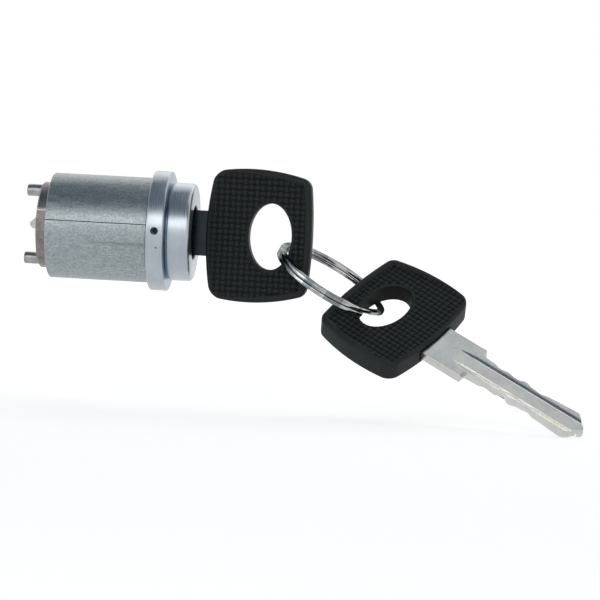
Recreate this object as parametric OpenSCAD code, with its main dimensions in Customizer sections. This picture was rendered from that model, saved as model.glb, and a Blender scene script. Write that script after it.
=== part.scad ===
// Ignition lock cylinder with its key in place and a spare key on a split ring.
// The lock axis is X, with the key side at +X, and the key stands in the XZ plane.
// The origin is on the axis, at the rear face of the collar, which seats on the steering lock.

/* [Barrel sleeve] */
// Outer diameter of the rolled sleeve
barrel_d = 26; // [25.4:0.2:27]
// Length of the sleeve behind the collar
barrel_len = 25.2; // [24.8:0.2:30]
// Sheet thickness of the sleeve
sleeve_wall = 0.8; // [0.6:0.05:0.9]
// Width of the seam where the sheet meets
seam_w = 0.2; // [0.1:0.05:0.4]
// Height of the seam round the sleeve, in degrees above the side
seam_angle = 6; // [-30:1:30]

/* [Collar] */
// Diameter of the collar
collar_d = 29.6; // [28:0.2:34]
// Width of the collar
collar_w = 4.3; // [3.6:0.1:6]
// Edge break of the collar
collar_edge = 0.35; // [0.1:0.05:0.8]
// Depth of the relief groove between collar and sleeve
seat_groove = 0.3; // [0.2:0.05:0.6]
// How far the relief groove reaches out beyond the sleeve
seat_room = 0.25; // [0.2:0.05:0.4]
// Diameter of the radial hole in the collar
collar_hole_d = 1.9; // [1:0.1:2.6]
// Depth of the radial hole
collar_hole_depth = 3; // [1:0.2:4]

/* [Nose] */
// Diameter of the nose in front of the collar
nose_d = 24.2; // [22:0.2:27]
// Length of the nose
nose_len = 6; // [4:0.2:9]
// Radius on the nose's front edge
nose_edge = 0.9; // [0.3:0.1:1.6]
// Radius of the hollow between nose and collar
nose_hollow = 0.6; // [0.2:0.1:0.9]
// Clearance of the key's shoulder in the round mouth
mouth_gap = 0.86; // [0.7:0.02:1]
// Depth of the mouth down to the rotor
mouth_depth = 8.4; // [6:0.2:9.6]

/* [Rotor] */
// Diameter of the rotor
rotor_d = 16; // [15.9:0.1:16.6]
// Radial running clearance of the rotor in its bore
rotor_gap = 0.05; // [0.03:0.01:0.1]
// End clearance of the rotor behind the mouth's step
rotor_end_gap = 0.1; // [0.05:0.01:0.2]
// Diameter of the tenon that carries the hub
tenon_d = 12; // [11.4:0.2:12.6]
// Width across the tenon's flats
tenon_flats = 10.4; // [9:0.2:11]

/* [Drive hub] */
// Wall of the housing round the hub's pocket
rear_wall = 1.1; // [0.9:0.05:1.4]
// How far the hub stands out behind the sleeve
hub_proud = 2.6; // [1.6:0.1:4]
// Step of the hub's flange beyond its body
hub_step = 0.4; // [0.3:0.05:0.5]
// Width of the hub's flange
hub_flange_w = 1.3; // [0.8:0.1:1.8]
// Edge break on the hub's rear rim
hub_edge = 0.3; // [0.1:0.05:0.6]
// Width of the fine timing mark across the hub's rim
mark_w = 0.3; // [0.2:0.05:0.6]
// Height of the timing mark round the rim, in degrees above the side
mark_angle = 21; // [0:1:40]

/* [Drive pins] */
// Diameter of the two drive pins
pin_d = 3; // [2.4:0.1:3.4]
// Step from the pin down to the shank that is pressed into the hub
pin_step = 0.5; // [0.3:0.05:0.6]
// How far the pins stand outside the middle between tenon and rim
pin_shift = 0.1; // [-0.2:0.05:0.4]
// How far the pins stand out of the hub
pin_proud = 4.2; // [2:0.1:7]
// Depth of the pins in the hub
pin_sunk = 4.2; // [3:0.1:4.6]
// Edge break on the pins' ends
pin_edge = 0.4; // [0.1:0.05:0.8]

/* [Snap ring] */
// Thickness of the snap ring
clip_t = 0.8; // [0.6:0.05:0.9]
// Depth of the snap ring's groove
clip_groove = 0.5; // [0.3:0.05:0.6]
// Opening between the snap ring's ends, in degrees
clip_open = 36; // [20:1:60]

/* [Wafers] */
// Thickness of a wafer
wafer_t = 1.1; // [0.9:0.05:1.2]
// Distance from the last wafer to the hub
wafer_land = 2.85; // [2.2:0.05:3.4]
// Width of a wafer across the key's faces
wafer_w = 9.2; // [8.6:0.1:9.4]
// Side clearance of a wafer in its slot
wafer_gap = 0.08; // [0.04:0.01:0.12]
// How far a wafer's ear stands out over its spring
ear_w = 1.35; // [1.2:0.05:1.4]
// Thickness of a wafer's ear
ear_t = 1; // [0.8:0.1:1.4]
// Travel that a wafer has each way
wafer_travel = 1.2; // [0.8:0.1:1.3]

/* [Wafer springs] */
// Outer diameter of a wafer spring
spring_d = 1.1; // [0.9:0.02:1.12]
// Diameter of the spring wire
spring_wire = 0.22; // [0.14:0.02:0.26]
// Length of a spring as fitted
spring_len = 3.3; // [2.8:0.1:3.6]
// Turns of a spring
spring_turns = 5; // [3:1:7]

/* [Key blade] */
// Width of the blade that enters the rotor
blade_w = 7.4; // [7:0.1:8]
// Thickness of the blade
blade_t = 2.5; // [2.2:0.1:2.8]
// Length of the blade from its shoulder to its tip
blade_len = 32.7; // [32:0.2:36]
// Width of the wide shoulder
shoulder_w = 11.2; // [10.6:0.1:11.8]
// Length of the shoulder in front of the rotor
shoulder_len = 11.5; // [10:0.1:14]
// Length of the root inside the head
root_len = 8; // [5:0.2:8.6]
// Width of the flat land between the two grooves of a face
land_w = 3.3; // [2.8:0.1:3.5]
// How far a face's land lies off the middle, to opposite sides on the two faces
land_shift = 0.4; // [0:0.1:0.5]
// Depth of the milled grooves
groove_depth = 0.55; // [0.3:0.05:0.7]
// Width of a groove's steep wall, beside the land
groove_wall = 0.25; // [0.1:0.05:0.4]
// Width of a groove's shallow slope
groove_slope = 1.05; // [0.7:0.05:1.2]
// Radius of the disc cutter that mills the grooves
cutter_r = 18; // [10:1:24]
// Length of shoulder that the grooves' full depth reaches
cutter_reach = 0.8; // [0:0.1:2]
// Length of the pointed tip
tip_len = 3.2; // [2.4:0.1:4.4]
// Width of the blunt end of the tip
tip_flat = 0.8; // [0.4:0.1:2]
// Depth of one step of the key's cuts
cut_step = 0.28; // [0.16:0.02:0.32]
// Width of the flat at the bottom of a cut
cut_flat = 0.9; // [0.6:0.05:1.2]
// Clearance of the blade in the keyway
key_gap = 0.15; // [0.1:0.01:0.2]

/* [Key head] */
// Length of the moulded head along the blade
head_len = 26.2; // [25:0.2:30]
// Width of the head
head_w = 33; // [31:0.2:36]
// Thickness of the head
head_t = 5.8; // [5:0.1:6.4]
// Radius of the long side edges
head_side_r = 45; // [36:1:80]
// Radius of the edge at the blade
head_root_r = 73; // [50:1:120]
// Radius of the far end edge
head_end_r = 110; // [70:1:160]
// Radius of the head's corners beside the blade
root_corner = 3.2; // [2:0.2:5]
// Radius of the head's corners at the far end
end_corner = 1.6; // [1.2:0.1:3]
// Rounding of the head's rims
head_round = 0.8; // [0.5:0.1:1.2]
// Rounding of the oval hole's edges
hole_round = 0.6; // [0.4:0.05:0.8]
// Width of the oval hole along the blade
hole_w = 10.7; // [9.6:0.1:11.4]
// Length of the oval hole across the head
hole_h = 16.4; // [14:0.2:18]
// Distance from the far end to the middle of the hole
hole_from_end = 10.3; // [10:0.1:10.9]
// Width of the rim around the grip panel
rim_w = 2.2; // [1.6:0.1:3]
// Depth of the grip panel's step at the far end
panel_step = 0.5; // [0.2:0.05:0.7]
// Clearance of the root in the head
root_gap = 0.03; // [0.01:0.01:0.06]

/* [Split ring] */
// Mean diameter of the ring
ring_mean_d = 28.6; // [28:0.2:32]
// Width of the ring's wire, from inside to outside
wire_w = 1.7; // [1.4:0.1:1.8]
// Thickness of the ring's wire, one turn
wire_t = 1.1; // [0.8:0.05:1.2]
// Gap between the two turns
turn_gap = 0.04; // [0.02:0.01:0.1]
// Corner break on the wire
wire_edge = 0.3; // [0.1:0.05:0.4]
// Stretch of the ring that has a single turn, in degrees
single_turn = 95; // [60:1:120]

/* [Hidden] */

// How far a cutting body reaches past the face it cuts
over = 0.5;
// Radial clearance of fixed pieces that are pressed together
press_gap = 0.01;

// Barrel and nose, along the axis
barrel_r = barrel_d / 2;
barrel_rear = -barrel_len;
core_r = barrel_r - sleeve_wall;
collar_r = collar_d / 2;
nose_r = nose_d / 2;
nose_front = collar_w + nose_len;
mouth_r = norm([shoulder_w, blade_t]) / 2 + mouth_gap;
mouth_floor = nose_front - mouth_depth;

// Hub, snap ring and rotor, along the axis
hub_gap = 0.1;
pocket_r = core_r - rear_wall;
flange_r = pocket_r - hub_gap;
hub_r = flange_r - hub_step;
hub_rear = barrel_rear - hub_proud;
pocket_len = 3.6;
pocket_front = barrel_rear + pocket_len;
hub_front = pocket_front - hub_gap;
flange_rear = hub_front - hub_flange_w;
clip_front = flange_rear - hub_gap;
clip_outer_r = pocket_r + clip_groove - press_gap;
clip_inner_r = hub_r + hub_gap;
rotor_r = rotor_d / 2;
bore_r = rotor_r + rotor_gap;
rotor_front = mouth_floor - rotor_end_gap;
tenon_r = tenon_d / 2;
pin_circle_r = (tenon_r + hub_r) / 2 + pin_shift;
shank_r = pin_d / 2 - pin_step;

// Wafers sit between the rotor's front land and the hub
wafer_count = 8;
wafer_first = -1.7;
wafer_pitch = (wafer_first - hub_front - wafer_land) / (wafer_count - 1);
wafer_r = rotor_r - wafer_gap;
slot_t = wafer_t + 2 * wafer_gap;
slot_w = wafer_w + 2 * wafer_gap;
window_h = blade_w + 2 * key_gap;
window_w = blade_t + 2 * key_gap;
ear_y = wafer_w / 2 + ear_w;
spring_y = wafer_w / 2 + ear_w / 2;
spring_top = -ear_t / 2;
lock_groove = 1.3;
// Clearance at each end of a wafer spring
spring_seat = 0.02;

// Key, along the axis
key_seat = rotor_front + rotor_end_gap;
tip_x = key_seat - blade_len;
head_start = key_seat + shoulder_len;
head_end = head_start + head_len;
hole_x = head_end - hole_from_end;
hole_edge = hole_x + hole_w / 2;
// Steps of each cut, from the shoulder to the tip
cut_code = [1, 3, 2, 4, 1, 3, 4, 2];
// Share of the head's length where it is widest
head_peak = 0.42;
// Mouth of the pocket that the blade leaves by
mouth_relief = 0.3;
mouth_relief_len = 0.8;

// Split ring, hung in the far side of the oval hole
ring_r = ring_mean_d / 2;
ring_h = 2 * wire_t + turn_gap;
// Where the wire crosses the key's plane: in from the hole's edge, and below the axis
ring_seat_in = 2.45;
ring_seat_drop = 3.4;
// Turn of the ring about X, Y and Z
ring_turn = [16.5, 27.4, 9.9];
// Middle of the single turn, seen from the ring's middle
single_middle = -2.5;
ring_steps = 100;

// Spare key, hung on the ring
spare_angle = -19;
spare_in_hole = 1.5;
spare_lift = 1.16;
spare_pitch = 7;
spare_heading = 168.7;
// Room between the ring's turns and the rims of the spare key's hole
spare_room = 1.05;
spare_edge = ring_r + spare_in_hole - hole_w / 2;
spare_inside = ring_r - wire_w / 2;
spare_chord = sqrt(spare_inside * spare_inside - spare_edge * spare_edge);
spare_roll = asin((head_t / 2 + ring_h / 2 + spare_room) / spare_chord);

$fa = 4;
$fs = 0.25;

// Place of a wafer along the axis, counted from the front
function wafer_x(i) = wafer_first - i * wafer_pitch;

// Stands a turned profile, drawn as radius and length, along the lock axis
module turned() {
  rotate([0, 90, 0])
    rotate_extrude($fn = 128)
      children();
}

// Round bar along the axis from x0 to x1
module bar(r, x0, x1) {
  translate([x0, 0, 0])
    rotate([0, 90, 0])
      cylinder(r = r, h = x1 - x0, $fn = 96);
}

// Block along the axis from x0 to x1, centred on it
module block(x0, x1, wide, high) {
  translate([x0, -wide / 2, -high / 2])
    cube([x1 - x0, wide, high]);
}

// Stands a shape drawn in the key's plane upright, t thick
module upright(t) {
  rotate([90, 0, 0])
    linear_extrude(t, center = true)
      children();
}

// Profile of the turned housing: core, collar, hollow and nose
module housing_profile() {
  difference() {
    union() {
      translate([0, barrel_rear])
        square([core_r, barrel_len]);
      polygon([
        [0, 0], [collar_r - collar_edge, 0], [collar_r, collar_edge],
        [collar_r, collar_w - collar_edge], [collar_r - collar_edge, collar_w], [0, collar_w]
      ]);
      square([nose_r - nose_edge, nose_front]);
      square([nose_r, nose_front - nose_edge]);
      translate([nose_r - nose_edge, nose_front - nose_edge])
        circle(nose_edge, $fn = 48);
    }
    translate([core_r, -over])
      square([sleeve_wall + seat_room, seat_groove + over]);
    translate([nose_r, collar_w])
      circle(nose_hollow, $fn = 48);
    translate([0, mouth_floor])
      square([mouth_r, mouth_depth + over]);
    translate([0, pocket_front - over])
      square([bore_r, mouth_floor - pocket_front + over]);
    translate([0, barrel_rear - over])
      square([pocket_r, pocket_len + over]);
    translate([0, clip_front - clip_t - press_gap])
      square([pocket_r + clip_groove, clip_t + 2 * press_gap]);
  }
}

module housing() {
  color([0.66, 0.7, 0.74])
    difference() {
      turned()
        housing_profile();
      block(pocket_front - over, wafer_x(0) + wafer_pitch / 2, slot_w, 2 * (bore_r + lock_groove));
      translate([collar_w / 2, 0, 0])
        rotate([90, 0, 0])
          translate([0, 0, collar_r - collar_hole_depth])
            cylinder(d = collar_hole_d, h = collar_hole_depth + over, $fn = 48);
    }
}

module barrel_sleeve() {
  color([0.58, 0.6, 0.62])
    difference() {
      bar(barrel_r, barrel_rear, 0);
      bar(core_r + press_gap, barrel_rear - over, over);
      rotate([-seam_angle, 0, 0])
        translate([barrel_rear - over, -barrel_r - over, -seam_w / 2])
          cube([barrel_len + 2 * over, sleeve_wall + 2 * over, seam_w]);
    }
}

// Open ring that springs into the groove behind the hub's flange
module rear_snap_ring() {
  color([0.35, 0.36, 0.38])
    translate([clip_front - clip_t, 0, 0])
      rotate([0, 90, 0])
        rotate([0, 0, clip_open / 2])
          rotate_extrude(angle = 360 - clip_open, $fn = 128)
            translate([clip_inner_r, 0])
              square([clip_outer_r - clip_inner_r, clip_t]);
}

// Cross-section of a groove beside the land, with a gap g left round what lies in it
module groove_section(g) {
  land = land_w / 2;
  foot = land + groove_wall;
  far = foot + groove_slope;
  lip = blade_t / 2 + 2 * g;
  polygon([[land, lip + over], [land, lip], [foot, lip - groove_depth], [far, lip], [far, lip + over]]);
}

// Slot for the blade, from x0 to x1, with a rib for each groove of the blade
module keyway(x0, x1) {
  translate([x0, 0, 0])
    rotate([0, 90, 0])
      linear_extrude(x1 - x0)
        difference() {
          square([window_h, window_w], center = true);
          for (turned = [0, 180], side = [0, 1])
            rotate(turned)
              translate([land_shift, 0])
                mirror([side, 0])
                  groove_section(key_gap);
        }
}

// Alternate wafers are turned over, so that their springs lie on opposite sides
module at_wafer(i) {
  translate([wafer_x(i), 0, 0])
    rotate([180 * (i % 2), 0, 0])
      children();
}

module rotor() {
  pocket_low = spring_top - spring_len;
  pocket_high = ear_t / 2 + wafer_travel;
  color([0.72, 0.66, 0.5])
    difference() {
      union() {
        bar(rotor_r, hub_front, rotor_front);
        intersection() {
          bar(tenon_r, hub_rear, hub_front + over);
          block(hub_rear, hub_front + over, tenon_flats, tenon_d);
        }
      }
      keyway(hub_rear - over, rotor_front + over);
      for (i = [0 : wafer_count - 1])
        at_wafer(i) {
          block(-slot_t / 2, slot_t / 2, slot_w, rotor_d + over);
          translate([-slot_t / 2, 0, pocket_low])
            cube([slot_t, ear_y + wafer_gap, pocket_high - pocket_low]);
        }
    }
}

// Places of the two pins on the hub, above and below the axis
module at_pin(side) {
  translate([0, 0, side * pin_circle_r])
    children();
}

module drive_hub() {
  color([0.5, 0.47, 0.43])
    difference() {
      turned()
        polygon([
          [0, hub_front], [flange_r, hub_front], [flange_r, flange_rear], [hub_r, flange_rear],
          [hub_r, hub_rear + hub_edge], [hub_r - hub_edge, hub_rear], [0, hub_rear]
        ]);
      intersection() {
        bar(tenon_r + press_gap, hub_rear - over, hub_front + over);
        block(hub_rear - over, hub_front + over, tenon_flats + 2 * press_gap, tenon_d + over);
      }
      for (side = [-1, 1])
        at_pin(side)
          bar(shank_r + press_gap, hub_rear - over, hub_rear + pin_sunk);
      rotate([-mark_angle, 0, 0])
        translate([hub_rear - over, -hub_r - over, -mark_w / 2])
          cube([hub_proud + over, mark_w + over, mark_w]);
    }
}

module drive_pin(side) {
  tail = hub_rear - pin_proud;
  seat = hub_rear - press_gap;
  head = hub_rear + pin_sunk - press_gap;
  r = pin_d / 2;
  color([0.68, 0.7, 0.72])
    at_pin(side)
      turned()
        polygon([
          [0, tail], [r - pin_edge, tail], [r, tail + pin_edge], [r, seat], [shank_r, seat],
          [shank_r, head - pin_edge], [shank_r - pin_edge, head], [0, head]
        ]);
}

module upper_drive_pin() {
  drive_pin(1);
}

module lower_drive_pin() {
  drive_pin(-1);
}

// Stamped brass plate with a window for the blade and an ear for its spring
module wafer(i) {
  color([0.8, 0.65, 0.32])
    at_wafer(i)
      difference() {
        union() {
          intersection() {
            bar(wafer_r, -wafer_t / 2, wafer_t / 2);
            block(-wafer_t / 2, wafer_t / 2, wafer_w, rotor_d);
          }
          translate([-wafer_t / 2, 0, -ear_t / 2])
            cube([wafer_t, ear_y, ear_t]);
        }
        block(-wafer_t, wafer_t, window_w, window_h);
      }
}

// Tube of rings, each a list of points, with flat ends
module ring_tube(rings) {
  sides = len(rings[0]);
  last = len(rings) - 1;
  faces = [
    for (k = [0 : last - 1], s = [0 : sides - 1])
      let (t = (s + 1) % sides)
        [k * sides + s, k * sides + t, (k + 1) * sides + t, (k + 1) * sides + s]
  ];
  near_end = [for (s = [sides - 1 : -1 : 0]) s];
  far_end = [for (s = [0 : sides - 1]) last * sides + s];
  polyhedron([for (r = rings) each r], concat(faces, [near_end, far_end]), convexity = 6);
}

// Coil spring under a wafer's ear
module wafer_spring(i) {
  coil_r = (spring_d - spring_wire) / 2;
  wire_r = spring_wire / 2;
  sides = 6;
  per_turn = 9;
  low = spring_top - spring_len + spring_seat + wire_r;
  rise = spring_len - 2 * spring_seat - spring_wire;
  steps = spring_turns * per_turn;
  color([0.75, 0.76, 0.78])
    at_wafer(i)
      translate([0, spring_y, low])
        ring_tube([
          for (k = [0 : steps])
            let (turn = 360 * k / per_turn, z = rise * k / steps)
              [for (s = [0 : sides - 1])
                let (r = coil_r + wire_r * cos(360 * s / sides))
                  [r * cos(turn), r * sin(turn), z + wire_r * sin(360 * s / sides)]]
        ]);
}

// Edge of the blade in its plane: the flats of the cuts from the shoulder to the tip
function blade_edge() = concat(
  [[key_seat + over, blade_w / 2]],
  [for (i = [0 : wafer_count - 1], side = [1, -1])
    [wafer_x(i) + side * cut_flat / 2, blade_w / 2 - cut_step * cut_code[i]]],
  [
    [tip_x + tip_len + cut_flat, blade_w / 2], [tip_x + tip_len, blade_w / 2 - cut_step],
    [tip_x, tip_flat / 2]
  ]
);

function flipped(points) = [for (i = [len(points) - 1 : -1 : 0]) [points[i][0], -points[i][1]]];

// Groove milled along one side of a land, which runs out to a point in the shoulder
module milled_groove() {
  land = land_w / 2;
  foot = land + groove_wall;
  far = foot + groove_slope;
  run_out = key_seat + cutter_reach;
  rim = cutter_r - groove_depth;
  rotate([0, -90, 0])
    translate([0, 0, -run_out])
      linear_extrude(run_out - tip_x + over)
        groove_section(0);
  translate([run_out, blade_t / 2 + rim, 0])
    rotate_extrude($fn = 128)
      polygon([[0, land], [rim, land], [cutter_r, foot], [rim, far], [0, far]]);
}

module blade() {
  difference() {
    union() {
      upright(blade_t)
        polygon(concat(blade_edge(), flipped(blade_edge())));
      block(key_seat, head_start + root_len, blade_t, shoulder_w);
    }
    for (turned = [0, 180], side = [0, 1])
      rotate([turned, 0, 0])
        translate([0, 0, -land_shift])
          mirror([0, 0, side])
            milled_groove();
  }
}

// Round disc that holds one long side edge of the head
module side_arc(side) {
  peak = head_start + head_peak * head_len;
  translate([peak, side * (head_w / 2 - head_side_r)])
    circle(head_side_r, $fn = 150);
}

// Four shallow arcs in the key's plane, with corners of radius r
module arc_outline(r) {
  offset(r = r, $fn = 32)
    offset(delta = -r)
      intersection() {
        translate([head_start + head_root_r, 0])
          circle(head_root_r, $fn = 180);
        translate([head_end - head_end_r, 0])
          circle(head_end_r, $fn = 240);
        side_arc(1);
        side_arc(-1);
      }
}

// Outline of the head, with tighter corners at the far end than beside the blade
module head_outline() {
  hull() {
    intersection() {
      arc_outline(root_corner);
      translate([head_start, -head_w])
        square([head_len / 2, 2 * head_w]);
    }
    intersection() {
      arc_outline(end_corner);
      translate([head_start + head_len / 2, -head_w])
        square([head_len, 2 * head_w]);
    }
  }
}

// Oval outline of the hole, grown by g, at the height y
function hole_ring(g, y) = [
  for (a = [0 : 8 : 352])
    [hole_x + (hole_w / 2 + g) * cos(a), y, (hole_h / 2 + g) * sin(a)]
];

// Oval hole with rounded rims, from one face to the other
module oval_hole() {
  face = head_t / 2;
  rim = [for (a = [0, 45, 90]) [hole_round * (1 - cos(a)), face - hole_round * (1 - sin(a))]];
  half = concat(rim, [[hole_round, face + over]]);
  ring_tube([
    for (k = [-len(half) : len(half) - 1])
      let (p = half[k < 0 ? -1 - k : k])
        hole_ring(p[0], k < 0 ? -p[1] : p[1])
  ]);
}

// Grip panel, sunk towards the far end of one face
module panel_recess() {
  slope = atan(panel_step / (head_len - 2 * rim_w));
  translate([head_start + rim_w, -head_t / 2, 0])
    rotate([0, 0, slope])
      translate([-head_start - rim_w, -head_t / 2, 0])
        upright(head_t)
          offset(delta = -rim_w)
            arc_outline(root_corner);
}

module head() {
  root_w = shoulder_w + 2 * root_gap;
  root_t = blade_t + 2 * root_gap;
  difference() {
    hull()
      for (a = [0, 30, 60, 90])
        upright(head_t - 2 * head_round * (1 - sin(a)))
          offset(delta = head_round * (cos(a) - 1))
            head_outline();
    oval_hole();
    for (face = [0, 1])
      mirror([0, face, 0])
        panel_recess();
    block(head_start - over, head_start + root_len + root_gap, root_t, root_w);
    block(
      head_start - over, head_start + mouth_relief_len,
      root_t + 2 * mouth_relief, root_w + 2 * mouth_relief
    );
  }
}

module key_blade() {
  color([0.78, 0.78, 0.74])
    blade();
}

module key_head() {
  color([0.12, 0.12, 0.13])
    head();
}

// The ring's own frame: its middle at the origin, the first key at -X and the spare key at +X
module at_ring() {
  translate([hole_edge - ring_seat_in, 0, -ring_seat_drop])
    rotate(ring_turn)
      translate([ring_r, 0, 0])
        children();
}

// Height of the wire at the angle a: it passes from the upper to the lower turn in the single stretch
function turn_height(a) =
  let (start = 360 + single_middle - single_turn / 2, share = min(1, max(0, (a - start) / single_turn)))
    (wire_t + turn_gap) / 2 * cos(180 * share);

// Section of the wire as eight corners, outwards and up
function wire_section() =
  let (x = wire_w / 2, z = wire_t / 2, e = wire_edge)
    [[x, z - e], [x - e, z], [e - x, z], [-x, z - e], [-x, e - z], [e - x, -z], [x - e, -z], [x, e - z]];

// Two turns of flattened wire, with both ends beside the single stretch
module split_ring() {
  first = single_middle + single_turn / 2;
  sweep = 720 - single_turn;
  color([0.72, 0.74, 0.75])
    at_ring()
      ring_tube([
        for (k = [0 : ring_steps])
          let (a = first + sweep * k / ring_steps, h = turn_height(a))
            [for (p = wire_section()) [(ring_r + p[0]) * cos(a), (ring_r + p[0]) * sin(a), h + p[1]]]
      ]);
}

// Hangs the spare key on the ring by its oval hole
module at_spare_key() {
  at_ring()
    rotate([0, 0, spare_angle])
      translate([ring_r + spare_in_hole, 0, spare_lift])
        rotate([-90 - spare_roll, spare_pitch, spare_heading])
          translate([-hole_x, 0, 0])
            children();
}

module spare_key_blade() {
  color([0.78, 0.78, 0.74])
    at_spare_key()
      blade();
}

module spare_key_head() {
  color([0.12, 0.12, 0.13])
    at_spare_key()
      head();
}

housing();
barrel_sleeve();
rear_snap_ring();
rotor();
drive_hub();
upper_drive_pin();
lower_drive_pin();
wafer(0);  // wafer_1
wafer(1);  // wafer_2
wafer(2);  // wafer_3
wafer(3);  // wafer_4
wafer(4);  // wafer_5
wafer(5);  // wafer_6
wafer(6);  // wafer_7
wafer(7);  // wafer_8
wafer_spring(0);  // wafer_spring_1
wafer_spring(1);  // wafer_spring_2
wafer_spring(2);  // wafer_spring_3
wafer_spring(3);  // wafer_spring_4
wafer_spring(4);  // wafer_spring_5
wafer_spring(5);  // wafer_spring_6
wafer_spring(6);  // wafer_spring_7
wafer_spring(7);  // wafer_spring_8
key_blade();
key_head();
split_ring();
spare_key_blade();
spare_key_head();
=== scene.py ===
# Ignition lock cylinder with its key in place, and a spare key on a split ring.
# Each section makes one piece, or one group of like pieces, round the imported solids.
from math import asin, atan2, cos, floor, hypot, pi, radians, sin, sqrt, tau

import bmesh
import bpy
from mathutils import Euler, Matrix, Quaternion, Vector


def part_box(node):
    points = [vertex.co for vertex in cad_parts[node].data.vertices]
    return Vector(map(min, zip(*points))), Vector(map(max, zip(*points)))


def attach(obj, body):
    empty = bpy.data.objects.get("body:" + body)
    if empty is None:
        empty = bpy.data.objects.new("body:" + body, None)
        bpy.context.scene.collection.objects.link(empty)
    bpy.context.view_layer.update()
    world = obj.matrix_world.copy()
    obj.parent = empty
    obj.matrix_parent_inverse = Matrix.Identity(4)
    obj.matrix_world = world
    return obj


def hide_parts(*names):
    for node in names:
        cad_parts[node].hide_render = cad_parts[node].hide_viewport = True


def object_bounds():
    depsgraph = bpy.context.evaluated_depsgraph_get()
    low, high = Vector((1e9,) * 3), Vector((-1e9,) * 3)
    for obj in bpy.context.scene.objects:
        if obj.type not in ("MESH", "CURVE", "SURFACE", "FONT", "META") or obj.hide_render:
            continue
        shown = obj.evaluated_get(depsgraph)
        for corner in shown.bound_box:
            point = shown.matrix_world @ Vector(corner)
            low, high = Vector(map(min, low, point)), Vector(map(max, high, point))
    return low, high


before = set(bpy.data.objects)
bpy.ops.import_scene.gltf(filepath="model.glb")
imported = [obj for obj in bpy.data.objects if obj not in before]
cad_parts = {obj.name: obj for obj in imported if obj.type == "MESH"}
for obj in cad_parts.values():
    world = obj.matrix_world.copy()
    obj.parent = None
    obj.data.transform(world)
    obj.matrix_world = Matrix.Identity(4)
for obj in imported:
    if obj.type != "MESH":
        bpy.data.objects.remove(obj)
cad_low, cad_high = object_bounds()
bpy.context.scene.view_settings.view_transform = "Standard"


# Housing
# The turned body of the lock: a collar that stops it in the steering lock, and a nose with a round
# mouth for the key. Steel, turned in one piece and bright zinc plated, with a blind hole in the collar.

MM = 0.001
TURN_STEPS = 192
ROUND_STEPS = 5
WELD = 0.0005


def size_of(node):
    """Lowest and highest corner of a CAD node, in millimetres."""
    low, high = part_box(node)
    return low / MM, high / MM


def flat_profile(corners):
    """A flat face in the XY plane from (x, radius, rounding) corners, each rounded by its own amount."""
    bm = bmesh.new()
    verts = [bm.verts.new((x, radius, 0)) for x, radius, _ in corners]
    bm.faces.new(verts)
    for vert, (_, _, rounding) in zip(verts, corners):
        if rounding:
            bmesh.ops.bevel(bm, geom=[vert], offset=rounding, offset_type="OFFSET", segments=ROUND_STEPS,
                            profile=0.5, affect="VERTICES", material=-1)
    return bm


def turn(bm, sweep=tau):
    """Turns a flat profile round the lock axis, all the way or as far as a sheet reaches."""
    whole = sweep == tau
    if whole:
        bmesh.ops.delete(bm, geom=bm.faces[:], context="FACES_ONLY")
        on_axis = [e for e in bm.edges if all(abs(v.co.y) < WELD for v in e.verts)]
        bmesh.ops.delete(bm, geom=on_axis, context="EDGES")
    bmesh.ops.spin(bm, geom=bm.verts[:] + bm.edges[:] + bm.faces[:], cent=(0, 0, 0), axis=(1, 0, 0),
                   angle=sweep, steps=TURN_STEPS, use_merge=whole)
    bmesh.ops.remove_doubles(bm, verts=bm.verts[:], dist=WELD)
    bmesh.ops.recalc_face_normals(bm, faces=bm.faces[:])
    return bm


def cut_away(bm, tool):
    """Cuts the shape tool out of bm and gives what is left."""
    made = []
    for shape in (bm, tool):
        mesh = bpy.data.meshes.new("blank")
        shape.to_mesh(mesh)
        shape.free()
        made.append(bpy.data.objects.new("blank", mesh))
        bpy.context.scene.collection.objects.link(made[-1])
    cut = made[0].modifiers.new("cut", "BOOLEAN")
    cut.operation = "DIFFERENCE"
    cut.solver = "EXACT"
    cut.object = made[1]
    left = bmesh.new()
    left.from_object(made[0], bpy.context.evaluated_depsgraph_get())
    bmesh.ops.dissolve_degenerate(left, dist=WELD, edges=left.edges[:])
    for blank in made:
        mesh = blank.data
        bpy.data.objects.remove(blank)
        bpy.data.meshes.remove(mesh)
    return left


def set_piece(bm, name, body, slot, material, *nodes, sharp=32):
    """Makes bm, drawn in millimetres, a piece that rides on a body and stands for its CAD nodes."""
    bmesh.ops.scale(bm, vec=(MM, MM, MM), verts=bm.verts[:])
    mesh = bpy.data.meshes.new(name)
    bm.to_mesh(mesh)
    bm.free()
    mesh.shade_smooth()
    mesh.set_sharp_from_angle(angle=radians(sharp))
    mesh.materials.append(material)
    piece = bpy.data.objects.new(name, mesh)
    bpy.context.scene.collection.objects.link(piece)
    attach(piece, body)
    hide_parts(*nodes)
    return piece


def add_node(tree, kind, sockets=None, **options):
    """Adds a shader node, sets its options, and fills or links its inputs."""
    made = tree.nodes.new(kind)
    for option, value in options.items():
        setattr(made, option, value)
    for name, value in (sockets or {}).items():
        if isinstance(value, bpy.types.NodeSocket):
            tree.links.new(value, made.inputs[name])
        else:
            made.inputs[name].default_value = value
    return made


def ramp(tree, value, *stops):
    """Colours a value by (place, grey or colour) stops."""
    made = add_node(tree, "ShaderNodeValToRGB", {"Fac": value})
    marks = made.color_ramp.elements
    for _ in stops[2:]:
        marks.new(0.5)
    for mark, (place, colour) in zip(marks, stops):
        mark.position = place
        mark.color = (*colour, 1) if isinstance(colour, tuple) else (colour, colour, colour, 1)
    return made.outputs["Color"]


def blend(tree, share, first, second, kind="MIX"):
    """Mixes two colours by a share."""
    made = add_node(tree, "ShaderNodeMix", {0: share, 6: first, 7: second}, data_type="RGBA",
                    blend_type=kind)
    return made.outputs[2]


def maths(tree, kind, first, second=0.0):
    """One step of arithmetic on values."""
    return add_node(tree, "ShaderNodeMath", {0: first, 1: second}, operation=kind).outputs[0]


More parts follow.
